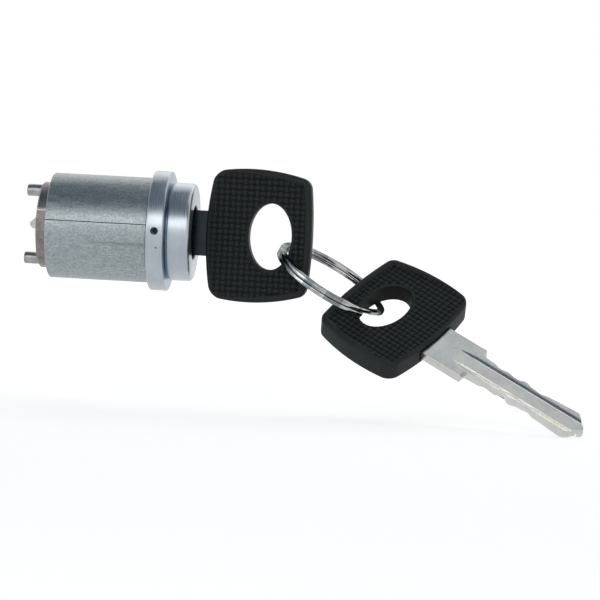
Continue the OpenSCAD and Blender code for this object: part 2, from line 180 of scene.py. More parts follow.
def surface_marks():
    """Patches, drawn lines and specks of handled metal, for every metal here to use in its own measure."""
    group = bpy.data.node_groups.new("surface_marks", "ShaderNodeTree")
    face = group.interface
    face.new_socket("Place", in_out="INPUT", socket_type="NodeSocketVector")
    face.new_socket("Patch Scale", in_out="INPUT", socket_type="NodeSocketFloat")
    face.new_socket("Line Scale", in_out="INPUT", socket_type="NodeSocketVector")
    for mark in ("Patches", "Lines", "Specks"):
        face.new_socket(mark, in_out="OUTPUT", socket_type="NodeSocketFloat")
    given = group.nodes.new("NodeGroupInput").outputs
    patches = add_node(group, "ShaderNodeTexNoise",
                       {"Vector": given["Place"], "Scale": given["Patch Scale"],
                        "Detail": 5, "Roughness": 0.6})
    stretched = add_node(group, "ShaderNodeVectorMath", {0: given["Place"], 1: given["Line Scale"]},
                         operation="MULTIPLY")
    lines = add_node(group, "ShaderNodeTexNoise",
                     {"Vector": stretched.outputs[0], "Scale": 1, "Detail": 4, "Roughness": 0.7})
    fine = maths(group, "MULTIPLY", given["Patch Scale"], 3.0)
    specks = add_node(group, "ShaderNodeTexNoise", {"Vector": given["Place"], "Scale": fine, "Detail": 3})
    specks = ramp(group, specks.outputs["Fac"], (0.56, 0.0), (0.7, 1.0))
    out = group.nodes.new("NodeGroupOutput").inputs
    group.links.new(patches.outputs["Fac"], out["Patches"])
    group.links.new(lines.outputs["Fac"], out["Lines"])
    group.links.new(specks, out["Specks"])
    return group


metal_marks = surface_marks()


def in_pose(tree, vector, pose, moved=True):
    """Brings a place or, not moved, a direction on a piece that lies askew back to where it was drawn."""
    start = pose.to_translation() * MM if moved else Vector()
    made = add_node(tree, "ShaderNodeMapping",
                    {"Vector": vector, "Location": start, "Rotation": pose.to_euler()},
                    vector_type="TEXTURE")
    return made.outputs[0]


def worn_metal(name, dark, light, rough, patch_scale, line_scale, relief, speck=0.15, line_shade=0.84,
               pose=None):
    """A bare or plated metal: patches from dark to light, drawn lines in its gloss, and dull specks.
    A piece that lies askew gives its pose, so that the lines follow it.
    Gives the material, its tree and shader, the place on the piece and the colour."""
    material = bpy.data.materials.new(name)
    material.use_nodes = True
    tree = material.node_tree
    shader = tree.nodes["Principled BSDF"]
    place = tree.nodes.new("ShaderNodeTexCoord").outputs["Object"]
    if pose:
        place = in_pose(tree, place, pose)
    marks = add_node(tree, "ShaderNodeGroup", node_tree=metal_marks)
    tree.links.new(place, marks.inputs["Place"])
    marks.inputs["Patch Scale"].default_value = patch_scale
    marks.inputs["Line Scale"].default_value = line_scale
    colour = ramp(tree, marks.outputs["Patches"], (0.36, dark), (0.64, light))
    dulled = maths(tree, "MULTIPLY", marks.outputs["Specks"], speck)
    speck_shade = 0.55
    colour = blend(tree, dulled, colour, (*(speck_shade * c for c in dark), 1))
    drawn = ramp(tree, marks.outputs["Lines"], (0.35, line_shade), (0.62, 1.0))
    colour = blend(tree, 1.0, colour, drawn, "MULTIPLY")
    tree.links.new(colour, shader.inputs["Base Color"])
    gloss = add_node(tree, "ShaderNodeMapRange",
                     {"Value": marks.outputs["Lines"], "From Min": 0.3, "From Max": 0.7,
                      "To Min": rough[0], "To Max": rough[1]})
    tree.links.new(gloss.outputs[0], shader.inputs["Roughness"])
    line_depth = 0.05 * MM
    bump = add_node(tree, "ShaderNodeBump",
                    {"Height": marks.outputs["Lines"], "Strength": relief, "Distance": line_depth})
    tree.links.new(bump.outputs[0], shader.inputs["Normal"])
    shader.inputs["Metallic"].default_value = 1
    return material, tree, shader, place, colour


def within(tree, value, limit, soft=0.1):
    """1 where a length is under a limit in millimetres, falling to 0 over a soft edge."""
    made = add_node(tree, "ShaderNodeMapRange",
                    {"Value": value, "From Min": (limit + soft) * MM, "From Max": limit * MM})
    return made.outputs[0]


def off_axis(tree, place, centre, keep):
    """How far a point of the surface lies from a line through centre; keep has a 0 along the line."""
    moved = add_node(tree, "ShaderNodeVectorMath", {0: place, 1: Vector(centre) * MM}, operation="SUBTRACT")
    flat = add_node(tree, "ShaderNodeVectorMath", {0: moved.outputs[0], 1: keep}, operation="MULTIPLY")
    return add_node(tree, "ShaderNodeVectorMath", {0: flat.outputs[0]}, operation="LENGTH").outputs["Value"]


housing_low, housing_high = size_of("housing")
barrel_rear = housing_low.x
collar_r = housing_high.z
collar_w = 4.3
nose_front = housing_high.x
nose_r = 12.1
mouth_r = 6.6
mouth_floor = 1.9
bore_r = 8.05
core_r = 12.2
pocket_r = 11.1
pocket_front = barrel_rear + 3.6
hollow, hollow_depth = 0.6, 0.5
hollow_floor, hollow_rise = 0.35, 0.35
seat_r = 13.25
seat_groove = 0.3

housing = turn(flat_profile([
    (mouth_floor, mouth_r, 0), (nose_front, mouth_r, 0.35), (nose_front, nose_r, 0.9),
    (collar_w + hollow, nose_r, 0.2), (collar_w + hollow_floor, nose_r - hollow_depth, 0.3),
    (collar_w, nose_r + hollow_rise, 0.25), (collar_w, collar_r, 0.4), (0, collar_r, 0.4),
    (0, seat_r, 0.05), (seat_groove, seat_r, 0), (seat_groove, core_r, 0),
    (barrel_rear, core_r, 0), (barrel_rear, pocket_r, 0.1), (pocket_front, pocket_r, 0),
    (pocket_front, bore_r, 0), (mouth_floor, bore_r, 0),
]))

collar_hole_r = 0.95
collar_hole_depth = 3
drill = bmesh.new()
bmesh.ops.create_cone(drill, cap_ends=True, segments=48, radius1=collar_hole_r, radius2=collar_hole_r,
                      depth=2 * collar_hole_depth)
bmesh.ops.rotate(drill, cent=(0, 0, 0), matrix=Matrix.Rotation(pi / 2, 3, "X"), verts=drill.verts[:])
bmesh.ops.translate(drill, vec=(collar_w / 2, -collar_r, 0), verts=drill.verts[:])
housing = cut_away(housing, drill)

zinc, tree, shader, place, colour = worn_metal(
    "bright_zinc", dark=(0.41, 0.455, 0.50), light=(0.50, 0.54, 0.58), rough=(0.24, 0.36), patch_scale=90,
    line_scale=(5200, 90, 90), relief=0.06, speck=0.06, line_shade=0.9)
axes = add_node(tree, "ShaderNodeSeparateXYZ", {0: place}).outputs
# Painted shade in the recesses: the blind hole, a pit below it, the mouth, and the core under the sleeve.
near_side = maths(tree, "LESS_THAN", axes["Y"], 0.0)
from_hole = off_axis(tree, place, (collar_w / 2, 0, 0), (1, 0, 1))
blind_hole = within(tree, from_hole, collar_hole_r - 0.06, 0.05)
blind_hole = maths(tree, "MULTIPLY", blind_hole, near_side)
pit_x, pit_r, pit_angle = 2.7, 0.14, radians(16)
pit_place = (pit_x, -collar_r * cos(pit_angle), -collar_r * sin(pit_angle))
from_pit = off_axis(tree, place, pit_place, (1, 1, 1))
pit = maths(tree, "MULTIPLY", within(tree, from_pit, pit_r, 0.22), 0.75)
from_axis = off_axis(tree, place, (0, 0, 0), (0, 1, 1))
mouth = within(tree, from_axis, mouth_r + 0.12, 0.3)
behind_collar = within(tree, axes["X"], 0.1, 0.15)
under_sleeve = maths(tree, "MULTIPLY", behind_collar, within(tree, from_axis, seat_r, 0.1))
rear_face = within(tree, axes["X"], barrel_rear, 0.1)
under_sleeve = maths(tree, "SUBTRACT", under_sleeve, rear_face)
painted_shade_mask = maths(tree, "MAXIMUM", blind_hole, pit)
painted_shade_mask = maths(tree, "MAXIMUM", painted_shade_mask, maths(tree, "MAXIMUM", mouth, under_sleeve))
# Colour of the painted shade in the hole, the pit, the mouth and the core under the sleeve.
painted_shade_colour = (0.045, 0.055, 0.055, 1)
colour = blend(tree, painted_shade_mask, colour, painted_shade_colour, "MULTIPLY")
# A painted dark-blue reflection in the hollow before the collar.
off_hollow = maths(tree, "ABSOLUTE", maths(tree, "SUBTRACT", axes["X"], (collar_w + hollow / 2) * MM))
painted_reflection_share = maths(tree, "MULTIPLY", within(tree, off_hollow, 0.15, 0.4), 0.7)
# Colour of the painted dark-blue reflection in the hollow.
painted_blue_reflection = (0.17, 0.27, 0.36, 1)
tree.links.new(blend(tree, painted_reflection_share, colour, painted_blue_reflection), shader.inputs["Base Color"])
set_piece(housing, "turned_housing", "lock_body", "zinc_plated_steel", zinc, "housing")


# Barrel sleeve
# A steel sheet rolled round the housing behind the collar, so that its two edges meet in a seam that
# runs the whole length on the near side. Pressed on, dulled, and scored where it has been handled.

sleeve_low, sleeve_high = size_of("barrel_sleeve")
barrel_r = sleeve_high.z
seam_angle = radians(6)
seam_w = 0.2
press_gap = 0.02
sleeve_bore = core_r + press_gap
sleeve = turn(flat_profile([
    (sleeve_low.x, sleeve_bore, 0), (sleeve_low.x, barrel_r, 0.35),
    (sleeve_high.x, barrel_r, 0.12), (sleeve_high.x, sleeve_bore, 0),
]), sweep=tau - seam_w / barrel_r)
seam_turn = pi - seam_angle + seam_w / barrel_r / 2
bmesh.ops.rotate(sleeve, cent=(0, 0, 0), matrix=Matrix.Rotation(seam_turn, 3, "X"), verts=sleeve.verts[:])

sleeve_steel, tree, shader, place, colour = worn_metal(
    "dulled_sleeve_steel", dark=(0.275, 0.318, 0.337), light=(0.42, 0.462, 0.475), rough=(0.33, 0.5),
    patch_scale=1700, line_scale=(450, 2400, 2400), relief=0.35, speck=0.35)
axes = add_node(tree, "ShaderNodeSeparateXYZ", {0: place}).outputs
# A dark rubbed stripe below the middle, from half way along to the collar.
stripe_z, stripe_half = -3.6, 0.75
stripe_start, stripe_full = -16, -9
off_stripe = maths(tree, "ABSOLUTE", maths(tree, "SUBTRACT", axes["Z"], stripe_z * MM))
across = within(tree, off_stripe, 0, stripe_half)
along = add_node(tree, "ShaderNodeMapRange",
                 {"Value": axes["X"], "From Min": stripe_start * MM, "From Max": stripe_full * MM})
near_side = maths(tree, "LESS_THAN", axes["Y"], 0.0)
stripe = maths(tree, "MULTIPLY", maths(tree, "MULTIPLY", across, along.outputs[0]), near_side)
colour = blend(tree, maths(tree, "MULTIPLY", stripe, 0.5), colour, (0.15, 0.16, 0.16, 1))
# A few bright scores along the barrel, finer than the mottling.
score_scale = (190, 4800, 4800)
score_place = add_node(tree, "ShaderNodeVectorMath", {0: place, 1: score_scale}, operation="MULTIPLY")
scores = add_node(tree, "ShaderNodeTexNoise", {"Vector": score_place.outputs[0], "Scale": 1, "Detail": 1})
scores = ramp(tree, scores.outputs["Fac"], (0.65, 0.0), (0.72, 0.55))
colour = blend(tree, scores, colour, (0.62, 0.65, 0.66, 1))
# Dirt and painted contact shade gather where the sleeve meets the collar.
dirt_and_shade_start = -0.4
short_of_collar = within(tree, axes["X"], dirt_and_shade_start, 0.2)
dirt_and_shade = maths(tree, "MULTIPLY", maths(tree, "SUBTRACT", 1.0, short_of_collar), 0.8)
# Dirt with painted contact shade at the sleeve's front end.
colour = blend(tree, dirt_and_shade, colour, (0.07, 0.08, 0.085, 1))
tree.links.new(colour, shader.inputs["Base Color"])
set_piece(sleeve, "rolled_sleeve", "lock_body", "sleeve_steel", sleeve_steel, "barrel_sleeve")


# Rotor, wafers and springs
# The plug that the key turns, with eight stamped wafers and a coil spring under each wafer's ear.
# Brass and spring steel, all inside the housing; the rotor's front is the floor of the key's mouth.


def dress(material, *nodes):
    """Gives CAD nodes that keep their shape a finish."""
    for node in nodes:
        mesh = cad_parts[node].data
        mesh.materials.clear()
        mesh.materials.append(material)


rotor_brass = worn_metal(
    "rotor_brass", dark=(0.30, 0.26, 0.18), light=(0.46, 0.40, 0.27), rough=(0.25, 0.45),
    patch_scale=250, line_scale=(4000, 120, 120), relief=0.15)[0]
wafer_brass = worn_metal(
    "stamped_brass", dark=(0.52, 0.39, 0.15), light=(0.66, 0.51, 0.22), rough=(0.28, 0.45),
    patch_scale=500, line_scale=(300, 300, 3000), relief=0.15)[0]
spring_steel = worn_metal(
    "bright_spring_wire", dark=(0.36, 0.37, 0.39), light=(0.52, 0.53, 0.55), rough=(0.2, 0.35),
    patch_scale=700, line_scale=(2500, 2500, 800), relief=0.1)[0]
wafer_count = 8
wafers = [f"wafer_{i + 1}" for i in range(wafer_count)]
springs = [f"wafer_spring_{i + 1}" for i in range(wafer_count)]
dress(rotor_brass, "rotor")
dress(wafer_brass, *wafers)
dress(spring_steel, *springs, "rear_snap_ring")


# Drive hub and pins
# A round disc on the rotor's tenon, held by the snap ring, with a fine timing mark across its rim, and
# two ground pins pressed into it that turn the electrical switch. Steel, dulled brown by handling.


def eased_copy(node, width, from_angle=25):
    """A copy of a CAD node with the edges sharper than an angle rounded off by width."""
    bm = bmesh.new()
    bm.from_mesh(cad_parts[node].data)
    bmesh.ops.scale(bm, vec=(1 / MM, 1 / MM, 1 / MM), verts=bm.verts[:])
    bmesh.ops.remove_doubles(bm, verts=bm.verts[:], dist=WELD)
    same_face = radians(0.5)
    bmesh.ops.dissolve_limit(bm, angle_limit=same_face, verts=bm.verts[:], edges=bm.edges[:])
    sharp = [e for e in bm.edges if e.is_manifold and e.calc_face_angle(0) > radians(from_angle)]
    bmesh.ops.bevel(bm, geom=sharp, offset=width, offset_type="OFFSET", segments=ROUND_STEPS, profile=0.5,
                    affect="EDGES", clamp_overlap=True, material=-1)
    return bm


def keep_flats(name):
    """Lets the large flats of a piece rule the shading of its rounded edges."""
    flats = bpy.data.objects[name].modifiers.new("flats", "WEIGHTED_NORMAL")
    flats.keep_sharp = True
    flats.weight = 100


hub_steel, tree, shader, place, colour = worn_metal(
    "dulled_hub_steel", dark=(0.19, 0.175, 0.17), light=(0.30, 0.28, 0.275), rough=(0.32, 0.5),
    patch_scale=350, line_scale=(3000, 200, 200), relief=0.2, speck=0.4)
flange_step = 0.4
hub_r = size_of("drive_hub")[1].z - flange_step
hub_ease = 0.12
mark_half, mark_angle = 0.2, radians(21)
mark_place = (0, -hub_r * cos(mark_angle), hub_r * sin(mark_angle))
timing_mark = within(tree, off_axis(tree, place, mark_place, (0, 1, 1)), mark_half, 0.2)
tree.links.new(blend(tree, timing_mark, colour, (0.85, 0.81, 0.78, 1)), shader.inputs["Base Color"])
hub = eased_copy("drive_hub", hub_ease)
set_piece(hub, "rear_drive_hub", "lock_rotor", "hub_steel", hub_steel, "drive_hub")
keep_flats("rear_drive_hub")

pin_steel = worn_metal(
    "ground_pin_steel", dark=(0.27, 0.28, 0.29), light=(0.42, 0.43, 0.44), rough=(0.24, 0.42),
    patch_scale=600, line_scale=(300, 3500, 3500), relief=0.2, speck=0.3)[0]
for node in ("upper_drive_pin", "lower_drive_pin"):
    pin_low, pin_high = size_of(node)
    pin_r = (pin_high.y - pin_low.y) / 2
    pin = turn(flat_profile([
        (pin_low.x, 0, 0), (pin_low.x, pin_r, 0.5), (pin_high.x, pin_r, 0.3), (pin_high.x, 0, 0),
    ]))
    bmesh.ops.translate(pin, vec=(0, 0, (pin_low.z + pin_high.z) / 2), verts=pin.verts[:])
    set_piece(pin, "ground_" + node, "lock_rotor", "pin_steel", pin_steel, node)


# Key blade
# The flat blade of the key in the lock, with a groove milled on each side of a middle land, in both
# faces, and cuts along both edges. Nickel silver, blanked, milled and cut, and moulded into the bow.

nickel = dict(dark=(0.43, 0.455, 0.455), light=(0.52, 0.54, 0.535), rough=(0.17, 0.3), patch_scale=260,
              line_scale=(150, 2600, 2600), relief=0.03, speck=0.15, line_shade=0.92)
blade_ease, blade_corner, blade_sharp = 0.05, 75, 20
land_edge = -1.25


def painted_groove_highlight(tree, place, colour, pose=None):
    """Paints a highlight on the milled grooves' faces that turn up or down, and along the land's edge."""
    facing = tree.nodes.new("ShaderNodeTexCoord").outputs["Normal"]
    if pose:
        facing = in_pose(tree, facing, pose, moved=False)
    facing = add_node(tree, "ShaderNodeSeparateXYZ", {0: facing}).outputs
    # Painted highlight on the faces that turn up or down.
    aslant = ramp(tree, maths(tree, "ABSOLUTE", facing["Z"]), (0.3, 0.0), (0.46, 0.4), (0.85, 1.0))
    off_edge = ramp(tree, maths(tree, "ABSOLUTE", facing["Y"]), (0.1, 0.3), (0.25, 1.0))
    axes = add_node(tree, "ShaderNodeSeparateXYZ", {0: place}).outputs
    near_face = maths(tree, "SIGN", maths(tree, "MULTIPLY", axes["Y"], -1.0))
    across = maths(tree, "MULTIPLY", axes["Z"], near_face)
    from_line = maths(tree, "ABSOLUTE", maths(tree, "SUBTRACT", across, land_edge * MM))
    past_shoulder = within(tree, axes["X"], mouth_floor, 2)
    # Painted highlight along the land's edge.
    painted_light_mask = maths(tree, "MULTIPLY", within(tree, from_line, 0.1, 0.1), past_shoulder)
    highlight_share = maths(tree, "MAXIMUM", maths(tree, "MULTIPLY", aslant, off_edge), painted_light_mask)
    return blend(tree, highlight_share, colour, (0.92, 0.89, 0.82, 1))


key_nickel, tree, shader, place, colour = worn_metal("nickel_silver", **nickel)
# Painted highlight on the grooves and the land's edge.
colour = painted_groove_highlight(tree, place, colour)
# Painted shade darkens the shoulder between the nose and the bow, in front of the rotor.
axes = add_node(tree, "ShaderNodeSeparateXYZ", {0: place}).outputs
unshaded_share = within(tree, axes["X"], mouth_floor, 0.5)
# The blade's colour under the painted shade.
painted_shade_blade = blend(tree, 1.0, colour, (0.05, 0.066, 0.07, 1), "MULTIPLY")
tree.links.new(blend(tree, unshaded_share, painted_shade_blade, colour), shader.inputs["Base Color"])
blade = eased_copy("key_blade", blade_ease, blade_corner)
set_piece(blade, "milled_key_blade", "key", "nickel_silver", key_nickel, "key_blade", sharp=blade_sharp)
keep_flats("milled_key_blade")


# Key bow
# The moulded grip of the key, with a smooth rim round a woven grip panel that sinks towards the far
# end, an oval hole for a ring, and a narrow mouth that the blade leaves by. Black matt plastic.

bow_low, bow_high = size_of("key_head")
bow_start, bow_end = bow_low.x, bow_high.x
bow_half_w = (bow_high.z - bow_low.z) / 2
bow_half_t = (bow_high.y - bow_low.y) / 2
root_corner, end_corner, corner_blend = 2.4, 1.6, 6
bow_round = 0.8
hole_round = 0.6
peak_share = 0.42
bow_peak = bow_start + peak_share * (bow_end - bow_start)
root_r, end_r, side_r = 73, 110, 45
# The outline lies inside four discs, given by the middle and radius of each.
bow_discs = [
    (bow_start + root_r, 0, root_r), (bow_end - end_r, 0, end_r),
    (bow_peak, bow_half_w - side_r, side_r), (bow_peak, side_r - bow_half_w, side_r),
]
hole_half_w, hole_half_h, hole_from_end = 5.35, 8.2, 10.3
hole_x = bow_end - hole_from_end
rim_w, root_rim_w = 1.7, 0.7
rim_growth = (0.1, 0.8)
hole_rim = (0.3, 0.8)
panel_step = 0.5
weave_cell = (1.46, 1.4)
weave_depth = 0.36
strand_level, strand_wave = 0.62, 0.38
strand_round, crest_round = 0.5, 0.6
slot_half_t, slot_depth, slot_lip = 1.56, 0.8, 0.04
slot_half_w = size_of("key_blade")[1].z + 0.31
bow_stations = 480
smooth_angle = 50


def eased(value, low, high):
    """Rises smoothly from 0 at low to 1 at high."""
    share = min(1, max(0, (value - low) / (high - low)))
    return share * share * (3 - 2 * share)


def edge_depth(x, z):
    """How far a point lies inside the bow's outline, which has tighter corners at its far end."""
    along = eased(x, bow_start + corner_blend, bow_end - corner_blend)
    corner = root_corner + (end_corner - root_corner) * along
    past = [hypot(x - cx, z - cz) - (r - corner) for cx, cz, r in bow_discs]
    if max(past) <= 0:
        return corner - max(past)
    return corner - hypot(*(max(p, 0) for p in past))


def hole_depth(x, z):
    """How far a point lies outside the oval hole, close to its edge."""
    u, v = (x - hole_x) / hole_half_w, z / hole_half_h
    reach = hypot(u, v)
    return (reach - 1) * reach / hypot(u / hole_half_w, v / hole_half_h)


def weave(x, z):
    """Height of a basket weave, from 0 between the strands to 1 on top of one."""
    u, v = x / weave_cell[0], z / weave_cell[1]
    over = 1 if (floor(u) + floor(v)) % 2 else -1
    crest = over * abs(sin(pi * u) * sin(pi * v)) ** crest_round
    lengthways = abs(sin(pi * v)) ** strand_round * (strand_level + strand_wave * crest)
    crossways = abs(sin(pi * u)) ** strand_round * (strand_level - strand_wave * crest)
    return max(lengthways, crossways)


def rounded_off(depth, radius):
    """How far the face falls away beside a rounded edge."""
    inside = max(0, radius - depth)
    return radius - sqrt(max(0, radius ** 2 - inside ** 2))


def bow_face(x, z):
    """Height of the bow's face over its middle plane, and the share of weave on it."""
    in_edge, in_hole = edge_depth(x, z), hole_depth(x, z)
    along = (x - bow_start) / (bow_end - bow_start)
    rim = root_rim_w + (rim_w - root_rim_w) * eased(along, *rim_growth)
    woven = eased(in_edge, rim - 0.1, rim + 0.25) * eased(in_hole, *hole_rim)
    sunk = panel_step * max(0, x - bow_start - rim_w) / (bow_end - bow_start - 2 * rim_w)
    grain = weave(x, z)
    height = bow_half_t - rounded_off(in_edge, bow_round) - rounded_off(in_hole, hole_round)
    height -= sunk * eased(in_edge, rim_w - 0.15, rim_w + 0.2)
    return height - woven * weave_depth * (1 - grain), 1 - woven * (1 - grain)


def bow_edge(turn_angle):
    """Reach of the bow's outline from the middle of the hole, in one direction, found by halving."""
    halvings = 40
    low, high = 0.0, 40.0
    for _ in range(halvings):
        reach = (low + high) / 2
        if edge_depth(hole_x + reach * cos(turn_angle), reach * sin(turn_angle)) > 0:
            low = reach
        else:
            high = reach
    return low


def station_at(x, z):
    """Number of the station round the hole at which a point lies."""
    return round(atan2(z, x) / tau * bow_stations) % bow_stations


def moulded_bow():
    """The bow in the key's own place: a loop round the hole, drawn out over one face to the outline."""
    bm = bmesh.new()
    grain = bm.verts.layers.float.new("grain")
    bmesh.ops.create_circle(bm, cap_ends=False, segments=bow_stations, radius=1)
    loop = bm.edges[:]
    stations = []
    for k in range(bow_stations):
        a = tau * k / bow_stations
        hole_reach = 1 / hypot(cos(a) / hole_half_w, sin(a) / hole_half_h)
        stations.append((a, hole_reach, bow_edge(a)))
    for vert in bm.verts:
        a, reach, _ = stations[station_at(vert.co.x, vert.co.y)]
        vert.co = (hole_x + reach * cos(a), 0, reach * sin(a))

    wall = bow_half_t - bow_round
    hole_wall = bow_half_t - hole_round
    near = [0.03, 0.1, 0.2, 0.33, 0.48, 0.64, 0.85]
    far = [2.6, 2.45, 2.3, 2.15, 2.0, 1.8, 1.45, 1.1, 0.8, 0.6, 0.42, 0.27, 0.14, 0.05]
    between = 54
    steps = [("hole", hole_wall / 2), ("hole", hole_wall)]
    steps += [("near", d) for d in near]
    steps += [("between", (k + 1) / (between + 1)) for k in range(between)]
    steps += [("far", d) for d in far]
    steps += [("edge", wall), ("edge", slot_half_t + slot_lip), ("edge", slot_half_t), ("edge", 0)]
    for kind, amount in steps:
        grown = bmesh.ops.extrude_edge_only(bm, edges=loop)["geom"]
        loop = [g for g in grown if isinstance(g, bmesh.types.BMEdge) and len(g.link_faces) == 1]
        for vert in {v for e in loop for v in e.verts}:
            a, inner, outer = stations[station_at(vert.co.x - hole_x, vert.co.z)]
            first, last = inner + near[-1], outer - far[0]
            reach = {"hole": inner, "near": inner + amount, "between": first + (last - first) * amount,
                     "far": outer - amount, "edge": outer}[kind]
            x, z = hole_x + reach * cos(a), reach * sin(a)
            if kind in ("hole", "edge"):
                height = amount
            else:
                height, vert[grain] = bow_face(x, z)
            if kind == "edge" and amount <= slot_half_t and x < bow_peak and abs(z) < slot_half_w:
                x += slot_depth
            vert.co = (x, -height, z)
    bmesh.ops.mirror(bm, geom=bm.verts[:] + bm.edges[:] + bm.faces[:], axis="Y", merge_dist=WELD)
    bmesh.ops.dissolve_degenerate(bm, dist=WELD, edges=bm.edges[:])
    bmesh.ops.recalc_face_normals(bm, faces=bm.faces[:])
    return bm


def bow_plastic():
    """Black moulded plastic: painted shade darkens it down between the strands of the weave, and it is
    duller where it is dusty.
    """
    material = bpy.data.materials.new("moulded_black_plastic")
    material.use_nodes = True
    tree = material.node_tree
    shader = tree.nodes["Principled BSDF"]
    place = tree.nodes.new("ShaderNodeTexCoord").outputs["Object"]
    grain = add_node(tree, "ShaderNodeAttribute", attribute_name="grain").outputs["Fac"]
    dust = add_node(tree, "ShaderNodeTexNoise", {"Vector": place, "Scale": 180, "Detail": 4})
    dust = dust.outputs["Fac"]
    speckle = add_node(tree, "ShaderNodeTexNoise", {"Vector": place, "Scale": 5200, "Detail": 2})
    speckle = speckle.outputs["Fac"]
    base = ramp(tree, dust, (0.35, (0.0175, 0.0232, 0.0236)), (0.7, (0.0245, 0.0305, 0.031)))
    # Painted shade in the creases of the weave, darkest where the grain is lowest.
    low = ramp(tree, grain, (0.4, 0.08), (0.95, 1.0))
    tree.links.new(blend(tree, 1.0, base, low, "MULTIPLY"), shader.inputs["Base Color"])
    shader.inputs["Specular IOR Level"].default_value = 0.13
    gloss = add_node(tree, "ShaderNodeMapRange",
                     {"Value": dust, "From Min": 0.3, "From Max": 0.7, "To Min": 0.46, "To Max": 0.6})
    tree.links.new(gloss.outputs[0], shader.inputs["Roughness"])
    bump = add_node(tree, "ShaderNodeBump", {"Height": speckle, "Strength": 0.25, "Distance": 0.03 * MM})
    tree.links.new(bump.outputs[0], shader.inputs["Normal"])
    return material


plastic = bow_plastic()
bow = moulded_bow()
spare_bow = bow.copy()
set_piece(bow, "moulded_key_bow", "key", "bow_plastic", plastic, "key_head", sharp=smooth_angle)


# Split ring
# Two turns of flattened wire, side by side, with one stretch where only a single turn runs and the
# wire crosses from one level to the other. Spring steel, coiled, cut square and polished.

ring_r = 14.3
wire_w, wire_t, wire_round = 1.7, 1.1, 0.32
turn_gap = 0.04
single_turn, single_middle = radians(95), radians(-2.5)
ring_steps = 250
seat_in_hole, seat_z = 2.45, -3.4
ring_seat = Vector((hole_x + hole_half_w - seat_in_hole, 0, seat_z))
ring_turn = Euler((radians(16.5), radians(27.4), radians(9.9)))
ring_pose = (Matrix.Translation(ring_seat) @ ring_turn.to_matrix().to_4x4()
             @ Matrix.Translation((ring_r, 0, 0)))


def wire_level(angle):
    """Height of the wire's middle: the upper turn, a smooth crossing, and then the lower turn."""
    crossing = (angle - (tau + single_middle - single_turn / 2)) / single_turn
    return (wire_t + turn_gap) / 2 * cos(pi * min(1, max(0, crossing)))


ring = flat_profile([(-wire_w / 2, -wire_t / 2, wire_round), (wire_w / 2, -wire_t / 2, wire_round),
                     (wire_w / 2, wire_t / 2, wire_round), (-wire_w / 2, wire_t / 2, wire_round)])
wire_start = single_middle + single_turn / 2
wire_step = (2 * tau - single_turn) / ring_steps
bmesh.ops.rotate(ring, cent=(0, 0, 0), matrix=Matrix.Rotation(pi / 2, 3, "X"), verts=ring.verts[:])
bmesh.ops.translate(ring, vec=(ring_r, 0, wire_level(wire_start)), verts=ring.verts[:])
bmesh.ops.rotate(ring, cent=(0, 0, 0), matrix=Matrix.Rotation(wire_start, 3, "Z"), verts=ring.verts[:])
wire_end = ring.verts[:] + ring.edges[:] + ring.faces[:]
for k in range(ring_steps):
    angle = wire_start + k * wire_step
    rise = wire_level(angle + wire_step) - wire_level(angle)
    wire_end = bmesh.ops.spin(ring, geom=wire_end, cent=(0, 0, 0), axis=(0, 0, 1), dvec=(0, 0, rise),
                              angle=wire_step, steps=1)["geom_last"]
bmesh.ops.transform(ring, matrix=ring_pose, verts=ring.verts[:])
bmesh.ops.recalc_face_normals(ring, faces=ring.faces[:])

ring_steel, tree, shader, place, colour = worn_metal(
    "polished_ring_steel", dark=(0.42, 0.445, 0.45), light=(0.62, 0.635, 0.63), rough=(0.07, 0.16),
    patch_scale=200, line_scale=(250, 250, 2200), relief=0.1, speck=0.1, line_shade=0.5, pose=ring_pose)
# Stretches of the wire are painted dark for reflections of dark surroundings, and end at a clear edge.
axes = add_node(tree, "ShaderNodeSeparateXYZ", {0: place}).outputs
stretch_rate, stretch_edge = 2.4, 0.53
round_wire = maths(tree, "MULTIPLY", maths(tree, "ARCTAN2", axes["Y"], axes["X"]), stretch_rate)
stretch = add_node(tree, "ShaderNodeTexNoise", {"W": round_wire, "Scale": 1, "Detail": 1},
                   noise_dimensions="1D")
painted_dark_reflection = maths(tree, "GREATER_THAN", stretch.outputs["Fac"], stretch_edge)
painted_dark_reflection = maths(tree, "MULTIPLY", painted_dark_reflection, 0.6)
# Colour of the painted dark reflection on the wire.
colour = blend(tree, painted_dark_reflection, colour, (0.10, 0.125, 0.13, 1))
# The single turn, which sits in the spare key's hole, is painted near black for the shade inside the hole.
hole_shade_angle, hole_shade_reach, hole_shade_fade = radians(2), 5.5, 2.6
from_hole_shade = off_axis(tree, place, (ring_r * cos(hole_shade_angle), ring_r * sin(hole_shade_angle), 0), (1, 1, 1))
painted_light_mask = maths(tree, "MULTIPLY", within(tree, from_hole_shade, hole_shade_reach, hole_shade_fade), 0.98)
# Painted shade, near black and not metallic, on the single turn.
tree.links.new(blend(tree, painted_light_mask, colour, (0.02, 0.023, 0.023, 1)), shader.inputs["Base Color"])
tree.links.new(maths(tree, "SUBTRACT", 1.0, painted_light_mask), shader.inputs["Metallic"])
shader.inputs["Specular IOR Level"].default_value = 0
shader.inputs["Specular Tint"].default_value = (0.45, 0.47, 0.47, 1)
set_piece(ring, "coiled_split_ring", "ring", "ring_steel", ring_steel, "split_ring", sharp=smooth_angle)


# Spare key
# A second key of the same kind, hung on the ring by its oval hole, with its blade pointing down and
# to the right. Its blade and bow are the same pieces as the first key's, in the spare key's place.

